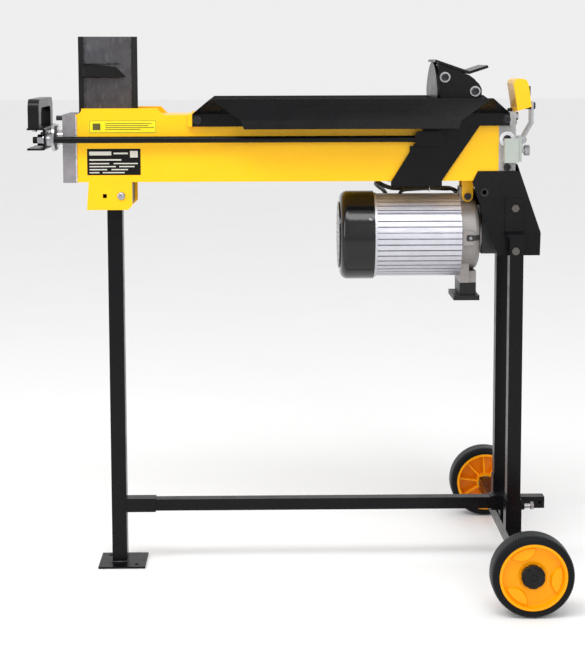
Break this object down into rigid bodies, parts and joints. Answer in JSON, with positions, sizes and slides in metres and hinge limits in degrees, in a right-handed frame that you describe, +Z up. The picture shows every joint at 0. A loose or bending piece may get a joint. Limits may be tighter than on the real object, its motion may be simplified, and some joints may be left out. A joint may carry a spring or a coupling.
{
  "type": "log splitter",
  "caption": "Electric hydraulic log splitter: a box beam with a fixed wedge and a sliding pusher, a finned motor and pump slung below, on a wheeled stand.",
  "frame": {"origin": "on the floor under the middle of the machine's box", "axes": "+X along the beam from the wedge to the controls, -Y towards the side with the control lever, +Z up"},
  "size_m": [0.956, 0.63, 0.996],
  "materials": {
    "yellow_paint": "gloss powder coat",
    "black_paint": "satin powder coat",
    "wedge_paint": "satin paint over welds",
    "cast_grey": "rough cast",
    "valve_grey": "satin paint",
    "motor_aluminium": "extruded, matt",
    "zinc": "zinc plated",
    "chrome_rod": "ground chrome",
    "bare_steel": "machined",
    "copper_winding": "enamelled wire",
    "black_steel": "black oxide",
    "black_plastic": "moulded, fine grain",
    "gloss_black": "gloss paint",
    "pump_iron": "painted dark",
    "seal_rubber": "satin",
    "tyre_rubber": "matt",
    "pale_seal": "moulded",
    "rim_orange": "gloss moulded",
    "button_green": "gloss moulded"
  },
  "bodies": {
    "frame": {"beam_side_plates": "yellow_paint", "beam_flanges": "yellow_paint", "front_end_plate": "cast_grey", "rod_gland": "seal_rubber", "cylinder_tube": "bare_steel", "cylinder_head": "cast_grey", "valve_block": "valve_grey", "seal_ring": "pale_seal", "oil_dipstick": "black_plastic", "lever_bracket": "zinc", "hand_guard": "yellow_paint", "wedge": "wedge_paint", "wing_near": "black_paint", "wing_far": "black_paint", "front_bracket": "yellow_paint", "front_leg": "black_paint", "stand_bar": "black_paint", "axle_tube": "black_paint", "rear_legs": "black_paint", "axle_rod": "zinc", "rear_cover": "black_paint", "motor_hanger": "yellow_paint", "zinc_bolts": "zinc", "black_screws": "black_steel", "fan_cover": "gloss_black", "rear_shield": "motor_aluminium", "motor_body": "motor_aluminium", "stator": "copper_winding", "end_cap": "cast_grey", "motor_bearings": "bare_steel", "pump_body": "pump_iron", "switch_box": "black_plastic", "switch_cable": "seal_rubber", "motor_cable": "seal_rubber"},
    "ram": {"piston_rod": "chrome_rod", "piston": "bare_steel", "cross_bracket": "black_paint", "carry_handle": "black_plastic", "tie_rods": "black_paint", "ram_hardware": "zinc", "slide_plates": "black_paint", "pusher_face": "black_paint", "pusher_body": "black_paint", "pusher_bolts": "black_steel"},
    "wheel_near": {"tyre_near": "tyre_rubber", "rim_near": "rim_orange", "disc_near": "rim_orange", "hub_cap_near": "black_plastic"},
    "wheel_far": {"tyre_far": "tyre_rubber", "rim_far": "rim_orange", "disc_far": "rim_orange", "hub_cap_far": "black_plastic"},
    "lever": {"control_lever": "zinc", "lever_grip": "black_plastic"},
    "spool": {"valve_spool": "zinc"},
    "motor_rotor": {"rotor": "bare_steel", "fan": "black_plastic", "drive_gear": "bare_steel"},
    "pump_gear": {"driven_gear": "bare_steel"},
    "button": {"start_button": "button_green"}
  },
  "joints": [
    {"name": "ram_slide", "type": "slide", "parent": "frame", "child": "ram", "axis": [-1, 0, 0], "range_m": [0, 0.38]},
    {"name": "wheel_near_spin", "type": "hinge", "parent": "frame", "child": "wheel_near", "pos_m": [0.406, -0.2925, 0.072], "axis": [0, 1, 0], "continuous": true},
    {"name": "wheel_far_spin", "type": "hinge", "parent": "frame", "child": "wheel_far", "pos_m": [0.406, 0.2925, 0.072], "axis": [0, 1, 0], "continuous": true},
    {"name": "lever_swing", "type": "hinge", "parent": "frame", "child": "lever", "pos_m": [0.4215, -0.035, 0.806], "axis": [0, 1, 0], "range_deg": [0, 18], "stiffness_Nm_per_rad": 3, "springref_deg": -8.59},
    {"name": "spool_slide", "type": "slide", "parent": "frame", "child": "spool", "axis": [-1, 0, 0], "range_m": [0, 0.0065]},
    {"name": "motor_spin", "type": "hinge", "parent": "frame", "child": "motor_rotor", "pos_m": [0.2, 0, 0.627], "axis": [1, 0, 0], "continuous": true},
    {"name": "pump_gear_spin", "type": "hinge", "parent": "frame", "child": "pump_gear", "pos_m": [0.366, 0, 0.651], "axis": [1, 0, 0], "continuous": true},
    {"name": "button_press", "type": "slide", "parent": "frame", "child": "button", "axis": [0, -1, 0], "range_m": [0, 0.004], "stiffness_N_per_m": 600, "springref_m": -0.003}
  ],
  "couplings": [
    {"joint": "spool_slide", "follows": "lever_swing", "m_per_rad": 0.02},
    {"joint": "pump_gear_spin", "follows": "motor_spin", "ratio": -1}
  ]
}
